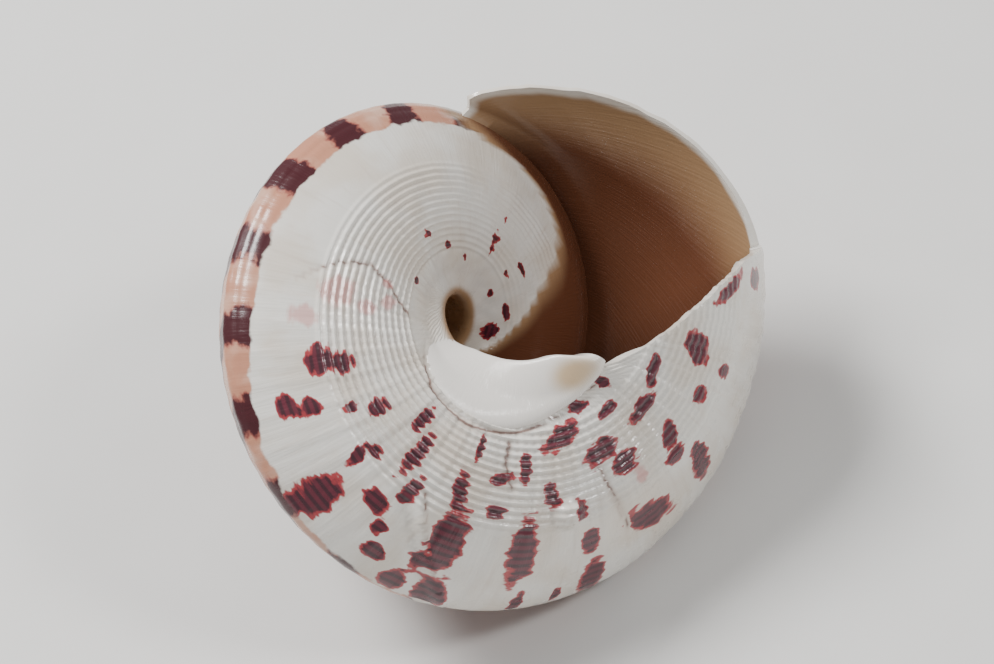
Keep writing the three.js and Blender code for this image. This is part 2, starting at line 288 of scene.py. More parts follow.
# Mouth nacre from the white lip to tan and brown deeper in: partly the nacre's own colour, partly painted
# shade
NACRE_WHITE = (226, 218, 206)
NACRE_TAN = (158, 126, 94)
NACRE_BROWN_AND_SHADE = (98, 60, 42)
CALLUS_WHITE = (234, 228, 220)
CALLUS_TAN = (206, 172, 122)
# Tan of the pit: partly its own colour, partly painted shade down the pit and on the plug that closes it
PIT_TAN_AND_SHADE = (168, 134, 100)
FLOOR_GREY = (214, 212, 208)
FLOOR_PALE = (222, 221, 218)
SKY = (236, 238, 242)

# Flames on the side
FLAMES_PER_TURN = 18.46
FLAME_PHASE = 5.27
FLAME_UNEVEN = 3.4
FLAME_FRAYED = 1.6

# Finish of the shell
SIDE_FRAYED = 0.9
PIT_CLOUDED = 0.2
DULLEST_ADDED = 0.16
DULL = 0.2
GLAZE_SHINE = 0.14
COAT = 0.4
COAT_DULL = 0.12
LINE_BUMP = 0.00012
LINE_BUMP_STRENGTH = 0.35
FLOOR_DULL = 0.75

# Places of the outline's points: shares of the side and of the rounded edge, and distances on the base
SIDE_T = np.linspace(0.03, 1, 40)
EDGE_T = np.linspace(0.05, 0.42, 14)
CORDED_ACROSS = np.linspace(22.2, 10.3, 84)
ABOVE_CORDS_POINTS = 5
BELOW_CORDS_POINTS = 11
INNER_SIDE_T = np.linspace(0.1, 0.8, len(SIDE_T))
INNER_EDGE_T = np.linspace(0.2, 0.45, len(EDGE_T))

# Stretches over which a form fades, in outline points from the end of the side or the start of the pit
RIM_FADE_POINTS = (-6, 2)
PIT_FADE_POINTS = (-5, 1)
PILLAR_FADE_POINTS = (-14, -4)

# Earlier whorls: points of the filled section, and how they meet the last whorls
SPIRE_SIDE_POINTS = 46
SPIRE_BASE_ACROSS = np.array((28.6, 24.0, 18.0, 12.0, 7.0))
SPIRE_BACK_SHARES = np.array((0.5, 0.7, 0.85))
SPIRE_BACK_INSET = 2.5
SPIRE_PIT_ROUND = 1.2
SPIRE_OVERLAP = 8.0
SPIRE_INSET = 0.06
SPIRE_INSET_OVER = 4.0

# Mesh density
FINE_FROM = -395.0
FINE_STEPS = 205
HIDDEN_STEPS = 30
HIDDEN_SHARE = 0.4
SPIRE_STEPS = 380
CALLUS_POINTS = 40
CALLUS_STEPS = 90
BASE_CURVE_POINTS = 600
SMOOTH_ANGLE = 60


# Shapes of lines and fades

def bezier(a, b, c, d, t):
    t = np.asarray(t, float)[:, None]
    a, b, c, d = (np.asarray(p, float) for p in (a, b, c, d))
    return (1 - t) ** 3 * a + 3 * (1 - t) ** 2 * t * b + 3 * (1 - t) * t ** 2 * c + t ** 3 * d


def smoothstep(low, high, x):
    t = np.clip((x - low) / (high - low), 0, 1)
    return t * t * (3 - 2 * t)


def fade(low, high, x):
    return 1 - smoothstep(low, high, x)


def hump(off, width):
    return np.exp(-(off / width) ** 2)


def crests(x, pitch):
    """Evenly spaced crests, from 0 in the grooves to 1 on top."""
    return 0.5 + 0.5 * np.cos(2 * math.pi * x / pitch)


def ripple(x, seed):
    """Uneven line, the same each time: a few waves of fixed phase."""
    waves = ((1, 1.0), (2, 2.3), (3, 4.1), (4, 7.9))
    return sum(math.cos(seed * k) * np.sin(x * f + seed * k * 1.7) for k, f in waves)


# Outline of a whorl

EDGE = np.array([LIP_RADIUS, SPIRE_HEIGHT])
SUTURE = EDGE / GROWTH_PER_TURN


def side_outline(t):
    fall = EDGE - SUTURE
    shoulder = SUTURE + SIDE_SHOULDER * fall + SIDE_BULGE * np.array([fall[1], -fall[0]])
    return bezier(SUTURE, shoulder, EDGE - (0, EDGE_ROUND), EDGE, t)


def base_outline(t):
    inner = (BASE_CURVE_RADIUS, BASE_LEVEL)
    middle = (BASE_PULL_ACROSS * LIP_RADIUS, SPIRE_HEIGHT + BASE_PULL_SAG * BASE_SAG)
    return bezier(EDGE, EDGE + (0, EDGE_ROUND), middle, inner, t)


BASE_CURVE = base_outline(np.linspace(0, 1, BASE_CURVE_POINTS))[::-1]


def base_depth(across):
    return np.interp(across, BASE_CURVE[:, 0], BASE_CURVE[:, 1])


def axis_wall(radius, steps):
    out, inwards = np.array(steps).T
    return np.stack([radius + out, BASE_LEVEL - inwards], -1)


def outline_normals(points):
    along = np.gradient(points, axis=0)
    along /= np.linalg.norm(along, axis=1)[:, None]
    return np.stack([along[:, 1], -along[:, 0]], -1)


def length_along(points):
    steps = np.linalg.norm(np.diff(points, axis=0), axis=1)
    return np.concatenate([[0], np.cumsum(steps)])


def shell_point(across, down, angle):
    size = GROWTH_PER_TURN ** (angle / 360)
    turn = -np.radians(angle)
    depth = SPIRE_HEIGHT * (size * down / SPIRE_HEIGHT) ** SPIRE_POWER
    return np.stack([size * across * np.cos(turn), size * across * np.sin(turn), -depth], -1)


def raised_points(outline, height, angle):
    """The outline's points at each growth angle, raised along its normals."""
    normals = outline_normals(outline)
    across = outline[:, 0] + height * normals[:, 0]
    down = outline[:, 1] + height * normals[:, 1]
    return shell_point(across, down, angle)


# Outer and inner outlines, point by point alike, so that their edges can be bridged

def outer_outline():
    edge = base_outline(EDGE_T)
    across = np.concatenate([
        np.linspace(edge[-1, 0], CORDED_ACROSS[0], ABOVE_CORDS_POINTS)[1:-1],
        CORDED_ACROSS,
        np.linspace(CORDED_ACROSS[-1], PIT_RADIUS + PIT_ROUND, BELOW_CORDS_POINTS)[1:],
    ])
    root = [SUTURE - (SUTURE_ROOT, 0)]
    base = np.stack([across, base_depth(across)], -1)
    return np.concatenate([root, side_outline(SIDE_T), edge, base, axis_wall(PIT_RADIUS, PIT_WALL)])


OUTER = outer_outline()
OUTLINE_COUNT = len(OUTER)
OUTLINE_POINTS = np.arange(OUTLINE_COUNT)
OUTLINE_LENGTH = length_along(OUTER)
SIDE_END = 1 + len(SIDE_T)
EDGE_LENGTH = OUTLINE_LENGTH[SIDE_END - 1]
PIT_POINTS = len(PIT_WALL)
PIT_START = OUTLINE_COUNT - PIT_POINTS


def inset(outline):
    return outline - WALL * outline_normals(outline)


def inner_outline():
    side = inset(side_outline(INNER_SIDE_T))
    edge = inset(base_outline(INNER_EDGE_T))
    pillar = axis_wall(COLUMELLA_RADIUS, PILLAR_WALL)
    rest = OUTLINE_COUNT - 1 - len(side) - len(edge) - len(pillar)
    across = np.linspace(edge[-1, 0], COLUMELLA_RADIUS + PILLAR_ROUND, rest + 1)[1:]
    base = np.stack([across, base_depth(across) - WALL], -1)
    return np.concatenate([[SUTURE + INNER_ROOT], side, edge, base, pillar])


def lip_outline(full):
    """Inner outline right at the lip: thin at the suture, thick near the edge, thin on the base."""
    thickness = np.interp(OUTLINE_POINTS - SIDE_END, LIP_THICKNESS_AT, LIP_THICKNESS)
    outline = OUTER - thickness[:, None] * outline_normals(OUTER)
    pillar_share = smoothstep(*PILLAR_FADE_POINTS, OUTLINE_POINTS - PIT_START)[:, None]
    outline = outline + (full - outline) * pillar_share
    outline[0] = full[0]
    return outline


def lip_angles():
    """Growth angle at which each point of the outline ends."""
    side_place = np.concatenate([[0], SIDE_T])
    side = LIP_AT_SUTURE + (LIP_AT_EDGE - LIP_AT_SUTURE) * side_place ** LIP_BEND
    for place, back, width in LIP_BREAKS:
        side = side - back * hump(side_place - place, width)
    base = np.interp(OUTER[SIDE_END:, 0], BASAL_LIP_ACROSS, BASAL_LIP_ANGLE)
    base[-PIT_POINTS:] = np.linspace(BASAL_LIP_ANGLE[0], PILLAR_TOP_ANGLE, PIT_POINTS)
    ragged = LIP_RAGGED * ripple(OUTLINE_LENGTH * LIP_RAGGED_WAVES, LIP_RAGGED_SEED)
    return np.concatenate([side, base]) + ragged * smoothstep(*LIP_RAGGED_START, OUTLINE_LENGTH)


LIP = lip_angles()


# Fields over the outer face, by growth angle and distance from the axis

def mark_field(angle, across, marks):
    """How far inside the nearest mark a point is, in shares of the mark's own size."""
    size = GROWTH_PER_TURN ** (angle / 360)
    field = np.full(angle.shape, NO_MARK)
    for mark_angle, mark_across, half_across, half_along, slant in marks:
        dx = (across - mark_across) * size
        dy = np.radians(angle - mark_angle) * mark_across * size
        lean = math.radians(slant)
        u = (dx * math.cos(lean) + dy * math.sin(lean)) / half_across
        v = (dy * math.cos(lean) - dx * math.sin(lean)) / half_along
        field = np.maximum(field, 1 - np.sqrt(u * u + v * v))
    return field


def callus_at(angle, column):
    return np.interp(angle, CALLUS[:, 0], CALLUS[:, column])


def callus_line(angle, across):
    """1 in the fine groove that runs along the callus's outer edge."""
    off = across - callus_at(angle, CALLUS_OUTER) - CALLUS_LINE_OFF
    present = smoothstep(*CALLUS_LINE_START, angle) * fade(*CALLUS_LINE_END, angle)
    return present * hump(off, CALLUS_LINE_WIDTH)


def crack_lines(angle, across):
    """1 in the fine cracks."""
    field = np.zeros(angle.shape)
    for crack_angle, crack_across in CRACKS:
        off = np.radians(angle - np.interp(across, crack_across, crack_angle)) * across
        first, last = crack_across[0], crack_across[-1]
        present = smoothstep(first - CRACK_FADE, first + CRACK_FADE, across)
        present = present * fade(last - CRACK_FADE, last + CRACK_FADE, across)
        field = np.maximum(field, present * hump(off, CRACK_WIDTH))
    return field


def cord_presence(angle, across):
    """How strong the cords are at a place on the base."""
    starts = smoothstep(CORD_FIRST - CORD_FADE, CORD_FIRST, across)
    ends = fade(CORD_LAST - CORD_FADE, CORD_LAST + CORD_TAIL, across)
    return starts * ends * np.interp(angle, CORD_STRENGTH_ANGLE, CORD_STRENGTH)


def past_glaze_edge(angle, across):
    """Degrees past the edge of the mouth's glaze, on the base of the whorl before."""
    return np.interp(across / GROWTH_PER_TURN, PARIETAL_ACROSS, PARIETAL_ANGLE) - (angle + 360)


def side_reach(angle):
    """How far the side's colours reach over the edge onto the base."""
    return np.interp(angle, SIDE_REACH_ANGLE, SIDE_REACH)


def white_rim(angle):
    """1 along the outer lip's rim, where the side's colours end."""
    return fade(*RIM_WHITE, LIP - angle) * fade(*RIM_FADE_POINTS, OUTLINE_POINTS - SIDE_END)


def grown_place(angle, length):
    """Turns along the growth lines, which slant over the side, and millimetres along the outline."""
    slant = SIDE_SLANT * np.clip(1 - length / EDGE_LENGTH, 0, 1)
    return np.stack([(angle - slant) / 360, length, np.zeros(angle.shape)], -1)


def with_plain_fields(grown, **given):
    """All the fields that the material reads, plain where none is given."""
    zero = np.zeros(grown.shape[:-1])
    fields = {name: zero for name in ("side", "nacre", "depth", "cord", "pit", "callus")}
    fields.update(stain=zero + NO_MARK, faint=zero + NO_MARK, grown=grown)
    fields.update(given)
    return fields


# Relief of the outer face, as heights in millimetres

def scar_ridge(angle, across):
    off = np.radians(angle - np.interp(across, SCAR_ACROSS, SCAR_ANGLE)) * across
    ridge = SCAR_HEIGHT * hump(off, SCAR_WIDTH)
    dip = SCAR_DIP * hump(off + SCAR_DIP_OFF, SCAR_DIP_WIDTH)
    return smoothstep(*SCAR_START, across) * (ridge - dip)


def blister_bump(angle, across):
    along = np.radians(angle - BLISTER_ANGLE) * BLISTER_ACROSS
    off = np.hypot(across - BLISTER_ACROSS, along)
    return BLISTER_HEIGHT * fade(BLISTER_TOP * BLISTER_RADIUS, BLISTER_RADIUS, off)


def base_relief(angle, across, side, glazed):
    on_base = 1 - side
    cords = CORD_HEIGHT * crests(across - CORD_FIRST, CORD_PITCH) ** CORD_SHARPNESS
    cords = cords * cord_presence(angle, across) * on_base * (1 - glazed)
    waves = angle * GROWTH_LINES_PER_DEGREE + across * GROWTH_LINES_PER_MM
    growth = GROWTH_LINE_HEIGHT * ripple(waves, GROWTH_LINE_SEED) * (1 - glazed)
    bumps = scar_ridge(angle, across) + blister_bump(angle, across) + GLAZE_HEIGHT * glazed
    lines = CALLUS_LINE_DEPTH * callus_line(angle, across) + CRACK_DEPTH * crack_lines(angle, across)
    return cords + growth + (bumps - lines) * on_base


def side_relief(angle, length):
    beads = 1 - BEAD_SHARE + BEAD_SHARE * np.cos(np.radians(angle) * BEADS_PER_RADIAN)
    ridges = RIDGE_HEIGHT * crests(length, RIDGE_PITCH) ** RIDGE_SHARPNESS
    return ridges * beads * smoothstep(*RIDGE_START, length)


# Making the meshes: a primitive is added, and its points are laid onto the shell

def lying_turn():
    spin = Matrix.Rotation(math.radians(LYING_SPIN), 3, "Z")
    tilt = Matrix.Rotation(math.radians(LYING_TILT), 3, "X")
    yaw = Matrix.Rotation(math.radians(LYING_YAW), 3, "Z")
    return np.array(yaw @ tilt @ spin)


def lie_down(points):
    return points @ lying_turn().T


def deselect_all():
    bpy.ops.object.select_all(action="DESELECT")


def points_of(piece):
    place = np.empty(3 * len(piece.data.vertices))
    piece.data.vertices.foreach_get("co", place)
    return place.reshape(-1, 3)


def move_points(piece, points):
    piece.data.vertices.foreach_set("co", points.ravel())
    piece.data.update()


def lay_points(piece, points, fields):
    """Lays the piece's points down in the resting pose, with a field's value at each."""
    move_points(piece, MM * lie_down(points))
    for name, values in fields.items():
        is_vector = values.ndim == 2
        attribute = piece.data.attributes.new(name, "FLOAT_VECTOR" if is_vector else "FLOAT", "POINT")
        attribute.data.foreach_set("vector" if is_vector else "value", values.astype(float).ravel())


def add_sheet(name, points, fields):
    """A grid with one point for each growth step and outline point."""
    deselect_all()
    steps, count = points.shape[:2]
    bpy.ops.mesh.primitive_grid_add(x_subdivisions=count - 1, y_subdivisions=steps - 1, size=2)
    sheet = bpy.context.object
    sheet.name = name
    place = points_of(sheet)
    column = np.rint((place[:, 0] + 1) / 2 * (count - 1)).astype(int)
    row = np.rint((place[:, 1] + 1) / 2 * (steps - 1)).astype(int)
    lay_points(sheet, points[row, column], {key: value[row, column] for key, value in fields.items()})
    return sheet


def add_tube(name, points, fields):
    """A closed tube from a sphere: the sphere's rings become the tube's, its poles close the ends."""
    deselect_all()
    rings, count = points.shape[:2]
    bpy.ops.mesh.primitive_uv_sphere_add(segments=count, ring_count=rings + 1, radius=1)
    tube = bpy.context.object
    tube.name = name
    place = points_of(tube)
    from_pole = np.arccos(np.clip(place[:, 2], -1, 1)) / math.pi
    ring = np.rint(from_pole * (rings + 1)).astype(int) - 1
    round_axis = np.arctan2(place[:, 1], place[:, 0]) / (2 * math.pi)
    column = np.rint(round_axis * count).astype(int) % count
    at_start = ring < 0
    at_end = ring >= rings
    ring = np.clip(ring, 0, rings - 1)
    laid = points[ring, column]
    laid[at_start] = points[0].mean(axis=0)
    laid[at_end] = points[-1].mean(axis=0)
    lay_points(tube, laid, {key: value[ring, column] for key, value in fields.items()})
    return tube


def join_pieces(pieces, name):
    deselect_all()
    for piece in pieces:
        piece.select_set(True)
    bpy.context.view_layer.objects.active = pieces[0]
    bpy.ops.object.join()
    pieces[0].name = name
    return pieces[0]


def in_edit_mode(piece, step):
    deselect_all()
    piece.select_set(True)
    bpy.context.view_layer.objects.active = piece
    bpy.ops.object.mode_set(mode="EDIT")
    step()
    bpy.ops.object.mode_set(mode="OBJECT")


def bridge_open_edges():
    bpy.ops.mesh.select_mode(type="EDGE")
    bpy.ops.mesh.select_all(action="DESELECT")
    bpy.ops.mesh.select_non_manifold()
    bpy.ops.mesh.bridge_edge_loops()


def turn_faces_outwards():
    bpy.ops.mesh.select_all(action="SELECT")
    bpy.ops.mesh.normals_make_consistent(inside=False)


# The last whorls: an outer and an inner sheet, bridged along their edges

def growth_grid():
    """Growth angles from the hidden start to the lip, with coarser steps where nothing shows."""
    hidden = np.linspace(0, HIDDEN_SHARE, HIDDEN_STEPS + 1)[:-1]
    shown = np.linspace(HIDDEN_SHARE, 1, FINE_STEPS - HIDDEN_STEPS + 1)
    share = np.concatenate([hidden, shown])[:, None]
    return FINE_FROM + (LIP - FINE_FROM) * share


def outer_sheet():
    angle = growth_grid()
    across = np.broadcast_to(OUTER[:, 0], angle.shape)
    length = np.broadcast_to(OUTLINE_LENGTH, angle.shape)
    on_side = OUTLINE_POINTS < SIDE_END
    side = fade(*SIDE_FADE, length - EDGE_LENGTH - side_reach(angle))
    pit = smoothstep(*PIT_FADE_POINTS, OUTLINE_POINTS - PIT_START)
    past_edge = past_glaze_edge(angle, across)
    glazed = np.where(on_side, 0, smoothstep(*GLAZE_FADE, past_edge)) * (1 - pit)
    height = np.where(on_side, 0, base_relief(angle, across, side, glazed)) * (1 - pit)
    height = height + side * side_relief(angle, length)
    # Painted shade in the grooves between the cords
    groove_shade = GROOVE_SHADE_SHARE * (1 - crests(across - CORD_FIRST, CORD_PITCH)) * cord_presence(angle, across)
    lines = np.maximum(callus_line(angle, across), crack_lines(angle, across))
    rim = white_rim(angle)
    fields = with_plain_fields(
        grown_place(angle, length),
        stain=np.where(on_side | (pit > 0.5), NO_MARK, mark_field(angle, across, MARKS)),
        faint=np.where(on_side, NO_MARK, mark_field(angle, across, FAINT_MARKS)),
        side=side * (1 - rim),
        nacre=np.maximum(glazed, rim),
        # Painted shade: the glaze goes brown past its edge, where the wall turns away from the light
        depth=np.clip(past_edge / GLAZE_SHADED_OVER, 0, 1) * glazed,
        # Painted shade in the grooves, and the dark fine lines of the cracks and the callus groove
        cord=np.maximum(groove_shade * (1 - glazed), lines * (1 - pit)) * (1 - side),
        pit=np.broadcast_to(pit, angle.shape),
    )
    return add_sheet("outer_sheet", raised_points(OUTER, height, angle), fields)


def inner_sheet():
    angle = growth_grid() - LIP_SETBACK
    behind = LIP - angle
    full = inner_outline()
    at_lip = lip_outline(full)
    outline = at_lip + (full - at_lip) * smoothstep(0, LIP_THICKENS_OVER, behind)[..., None]
    fields = with_plain_fields(
        grown_place(angle, np.broadcast_to(OUTLINE_LENGTH, angle.shape)),
        nacre=smoothstep(*LIP_WHITE, behind),
        # How deep into the mouth, for the nacre's brown, which is partly painted shade
        depth=np.clip(behind / MOUTH_BROWN_AND_SHADE_OVER, 0, 1),
    )
    return add_sheet("inner_sheet", shell_point(outline[..., 0], outline[..., 1], angle), fields)


# The earlier whorls, filled

def spire_section():
    root = [SUTURE - (SUTURE_ROOT, 0)]
    side = side_outline(np.linspace(SIDE_T[0], 1, SPIRE_SIDE_POINTS))
    base = np.stack([SPIRE_BASE_ACROSS, base_depth(SPIRE_BASE_ACROSS)], -1)
    pit_end = (PIT_RADIUS / GROWTH_PER_TURN + PIT_ROUND, BASE_LEVEL - PIT_DEPTH)
    pit = [(PIT_RADIUS, BASE_LEVEL - SPIRE_PIT_ROUND), pit_end]
    back_across = SUTURE[0] * SPIRE_BACK_SHARES
    back_down = base_depth(back_across * GROWTH_PER_TURN) / GROWTH_PER_TURN - SPIRE_BACK_INSET
    return np.concatenate([root, side, base, pit, np.stack([back_across, back_down], -1)])


def spire_tube():
    section = spire_section()
    index = np.arange(len(section))
    on_side = (index >= 1) & (index <= SPIRE_SIDE_POINTS)
    in_pit = index >= SPIRE_SIDE_POINTS + len(SPIRE_BASE_ACROSS)
    growth = np.linspace(-360 * TURNS, FINE_FROM + SPIRE_OVERLAP, SPIRE_STEPS + 1)
    angle = growth[:, None] + np.zeros(len(section))
    length = np.broadcast_to(length_along(section), angle.shape)
    side = np.where(on_side, fade(*SIDE_FADE, length - EDGE_LENGTH), 0)
    inset_share = smoothstep(FINE_FROM - SPIRE_INSET_OVER, FINE_FROM, angle)
    height = side * side_relief(angle, length) - SPIRE_INSET * inset_share
    fields = with_plain_fields(
        grown_place(angle, length),
        side=np.broadcast_to(on_side, angle.shape),
        pit=np.broadcast_to(in_pit, angle.shape),
    )
    return add_tube("spire_tube", raised_points(section, height, angle), fields)


# The callus, and the plug that closes the pit along the axis

def smoothed(values):
    width = 2 * CALLUS_SMOOTHING + 1
    padded = np.pad(values, CALLUS_SMOOTHING, mode="edge")
    return np.convolve(padded, np.ones(width) / width, mode="valid")


def callus_tube():
    angles = np.linspace(CALLUS[0, 0], CALLUS[-1, 0], CALLUS_STEPS)
    columns = (CALLUS_INNER, CALLUS_OUTER, CALLUS_RISE, CALLUS_SINK)
    inner, outer, rise, sink = (smoothed(callus_at(angles, column))[:, None] for column in columns)
    turn = np.linspace(0, 2 * math.pi, CALLUS_POINTS, endpoint=False)
    across = (inner + outer) / 2 + (outer - inner) / 2 * np.cos(turn)
    crown = rise * np.abs(np.sin(turn)) ** CALLUS_FULLNESS
    height = np.where(np.sin(turn) > 0, crown, sink * np.sin(turn))
    angle = angles[:, None] + np.zeros(CALLUS_POINTS)
    zero = np.zeros(angle.shape)
    patch = hump(angle - CALLUS_PATCH_ANGLE, CALLUS_PATCH_ALONG_WIDTH)
    patch = patch * hump(across - CALLUS_PATCH_ACROSS, CALLUS_PATCH_ACROSS_WIDTH)
    fields = with_plain_fields(
        np.stack([angle / 360, across, zero], -1),
        depth=patch,
        callus=zero + 1,
    )
    points = shell_point(across, base_depth(across) - CALLUS_BED + height, angle)
    return add_tube("callus_tube", points, fields)


def pit_plug():
    deselect_all()
    bpy.ops.mesh.primitive_cone_add(
        vertices=PLUG_SIDES, radius1=PLUG_RADIUS, radius2=PLUG_TIP, depth=PLUG_DEPTH)
    plug = bpy.context.object
    place = points_of(plug) - (0, 0, PLUG_DEPTH / 2)
    # The plug takes the pit's tan, which is partly painted shade deep in the pit
    lay_points(plug, place, with_plain_fields(np.zeros(place.shape), pit=np.ones(len(place))))
    return plug


# The whole shell

def shell_body():
    wall = join_pieces([outer_sheet(), inner_sheet()], "shell_surface")
    in_edit_mode(wall, bridge_open_edges)
    shell = join_pieces([wall, spire_tube(), callus_tube(), pit_plug()], "shell_surface")
    in_edit_mode(shell, turn_faces_outwards)
    bpy.ops.object.shade_smooth_by_angle(angle=math.radians(SMOOTH_ANGLE))
    return shell


def set_down(piece):
    """Moves the shell's points over the frame's footprint and gives back the shift."""
    place = points_of(piece)
    low, high = place.min(axis=0), place.max(axis=0)
    cad_low, cad_high = (np.array(corner) for corner in cad_box)
    shift = (cad_low + cad_high - low - high) / 2
    shift[2] = cad_low[2] - low[2]
    move_points(piece, place + shift)
    return shift


# Materials

def light_of(colour):
    """Linear colour for a shader socket."""
    shares = (c / 255 for c in colour)
    return (*(c / 12.92 if c <= 0.04045 else ((c + 0.055) / 1.055) ** 2.4 for c in shares), 1)


class Painter:
    """Short ways to add and join the shader nodes of one material."""

    def __init__(self, name):
        self.material = bpy.data.materials.new(name)
        self.material.use_nodes = True
        self.tree = self.material.node_tree
        self.shader = self.tree.nodes["Principled BSDF"]

    def put(self, socket, value):
        if isinstance(value, bpy.types.NodeSocket):
            self.tree.links.new(value, socket)
        elif isinstance(value, tuple) and socket.type == "RGBA":
            socket.default_value = light_of(value)
        else:
            socket.default_value = value

    def finish(self, name, value):
        self.put(self.shader.inputs[name], value)

    def field(self, name, output="Fac"):
        node = self.tree.nodes.new("ShaderNodeAttribute")
        node.attribute_name = name
        return node.outputs[output]

    def object_place(self):
        return self.tree.nodes.new("ShaderNodeTexCoord").outputs["Object"]

    def noise(self, vector, scale, detail=3.0):
        node = self.tree.nodes.new("ShaderNodeTexNoise")
        self.put(node.inputs["Vector"], vector)
        self.put(node.inputs["Scale"], scale)
        self.put(node.inputs["Detail"], detail)
        return node.outputs["Fac"]

    def grown_noise(self, grown, per_turn, per_mm, detail=3.0):
        """Noise that follows the growth, stretched along it or across it."""
        node = self.tree.nodes.new("ShaderNodeMapping")
        self.put(node.inputs["Vector"], grown)
        self.put(node.inputs["Scale"], (per_turn, per_mm, 1.0))
        return self.noise(node.outputs["Vector"], 1.0, detail)

    def step(self, value, low, high, top=1.0):
        node = self.tree.nodes.new("ShaderNodeMapRange")
        node.interpolation_type = "SMOOTHSTEP"
        self.put(node.inputs["Value"], value)
        self.put(node.inputs["From Min"], low)
        self.put(node.inputs["From Max"], high)
        self.put(node.inputs["To Max"], top)
        return node.outputs["Result"]

    def math(self, operation, *values):
        node = self.tree.nodes.new("ShaderNodeMath")
        node.operation = operation
        for socket, value in zip(node.inputs, values):
            self.put(socket, value)
        return node.outputs["Value"]

    def add_share(self, value, added, share):
        return self.math("MULTIPLY_ADD", added, share, value)

    def part(self, vector, axis):
        node = self.tree.nodes.new("ShaderNodeSeparateXYZ")
        self.put(node.inputs["Vector"], vector)
        return node.outputs[axis]

    def wave(self, value, per_unit, phase=0.0):
        return self.math("SINE", self.math("MULTIPLY_ADD", value, 2 * math.pi * per_unit, phase))

    def mix(self, share, a, b):
        node = self.tree.nodes.new("ShaderNodeMix")
        node.data_type = "RGBA"
        colour_sockets = [socket for socket in node.inputs if socket.type == "RGBA"]
        self.put(node.inputs["Factor"], share)
        self.put(colour_sockets[0], a)
        self.put(colour_sockets[1], b)
        return next(socket for socket in node.outputs if socket.type == "RGBA")

    def bump(self, height, distance, strength):
        node = self.tree.nodes.new("ShaderNodeBump")
        self.put(node.inputs["Height"], height)
        self.put(node.inputs["Distance"], distance)
        self.put(node.inputs["Strength"], strength)
        return node.outputs["Normal"]


def white_ground(paint, place, grown):
    """White base with growth streaks, painted shade in the grooves between the cords, and dark fine
    lines.
    """
    clouds = paint.noise(place, scale=170.0)
    colour = paint.mix(paint.step(clouds, low=0.35, high=0.65), WARM_WHITE, COOL_WHITE)
    streaks = paint.grown_noise(grown, per_turn=190.0, per_mm=0.16)
    colour = paint.mix(paint.step(streaks, low=0.52, high=0.78, top=0.45), colour, STREAK)
    cord = paint.field("cord")
    # Painted shade in the grooves between the cords, then the dark fine lines
    colour = paint.mix(paint.step(cord, low=0.15, high=1.0, top=0.6), colour, GROOVE_SHADE)
    return paint.mix(paint.step(cord, low=0.66, high=1.0, top=0.8), colour, DARK_LINE)


def marked_base(paint, place, grown):
    """The white ground with faint pink marks, and maroon marks with red edges."""
    colour = white_ground(paint, place, grown)
    ragged = paint.grown_noise(grown, per_turn=70.0, per_mm=1.1, detail=2.0)
    faint = paint.add_share(paint.field("faint"), ragged, MARK_RAGGED)
    colour = paint.mix(paint.step(faint, low=0.6, high=1.1, top=0.6), colour, PINK)
    stain = paint.add_share(paint.field("stain"), ragged, MARK_RAGGED)
    in_groove = paint.step(paint.field("cord"), low=0.2, high=0.6, top=0.25)
    stain = paint.math("SUBTRACT", stain, in_groove)
    stripes = paint.wave(paint.part(grown, "Y"), per_unit=1 / CORD_PITCH)
    maroon = paint.mix(paint.step(stripes, low=-0.6, high=0.8), MAROON, DARK_MAROON)
    inked = paint.mix(paint.step(stain, low=0.72, high=0.9), RED, maroon)
    return paint.mix(paint.step(stain, low=0.56, high=0.7), colour, inked)


def flamed_side(paint, place, grown):
    """Peach side with pale patches and dark flames along the growth lines."""
    clouds = paint.noise(place, scale=260.0)
    colour = paint.mix(paint.step(clouds, low=0.42, high=0.7), SIDE_GROUND, SIDE_PALE)
    flames = paint.wave(paint.part(grown, "X"), per_unit=FLAMES_PER_TURN, phase=FLAME_PHASE)
    uneven = paint.grown_noise(grown, per_turn=15.0, per_mm=0.16, detail=1.0)
    frayed = paint.grown_noise(grown, per_turn=140.0, per_mm=1.1)
    flames = paint.add_share(flames, uneven, FLAME_UNEVEN)
    flames = paint.add_share(flames, frayed, FLAME_FRAYED)
    colour = paint.mix(paint.step(flames, low=2.3, high=2.7, top=0.7), colour, SIDE_EMBER)
    return paint.mix(paint.step(flames, low=2.5, high=2.9), colour, FLAME)


def mouth_nacre_and_shade(paint, place):
    """Nacre that goes from the white lip to tan and brown inside: partly the nacre's own colour, partly
    painted shade deep in the mouth and on the glaze past its edge.
    """
    clouds = paint.step(paint.noise(place, scale=90.0), low=0.3, high=0.7, top=0.03)
    depth = paint.math("ADD", paint.field("depth"), clouds)
    colour = paint.mix(paint.step(depth, low=0.02, high=0.075), NACRE_WHITE, NACRE_TAN)
    return paint.mix(paint.step(depth, low=0.08, high=0.5), colour, NACRE_BROWN_AND_SHADE)


def callus_porcelain(paint):
    patch = paint.step(paint.field("depth"), low=0.2, high=0.9, top=0.8)
    return paint.mix(patch, CALLUS_WHITE, CALLUS_TAN)


def shell_colour(paint, place, grown):
    """The base, with the side, the mouth, the callus and the pit laid over it in turn."""
    frayed = paint.grown_noise(grown, per_turn=60.0, per_mm=0.4)
    side = paint.step(paint.add_share(paint.field("side"), frayed, SIDE_FRAYED), low=0.9, high=1.05)
    clouds = paint.noise(place, scale=300.0)
    pit = paint.step(paint.add_share(paint.field("pit"), clouds, PIT_CLOUDED), low=0.35, high=0.9)
    colour = paint.mix(side, marked_base(paint, place, grown), flamed_side(paint, place, grown))
    colour = paint.mix(paint.field("nacre"), colour, mouth_nacre_and_shade(paint, place))
    colour = paint.mix(paint.field("callus"), colour, callus_porcelain(paint))
    # The pit painted tan: partly its own colour, partly painted shade down the pit
    return paint.mix(pit, colour, PIT_TAN_AND_SHADE)


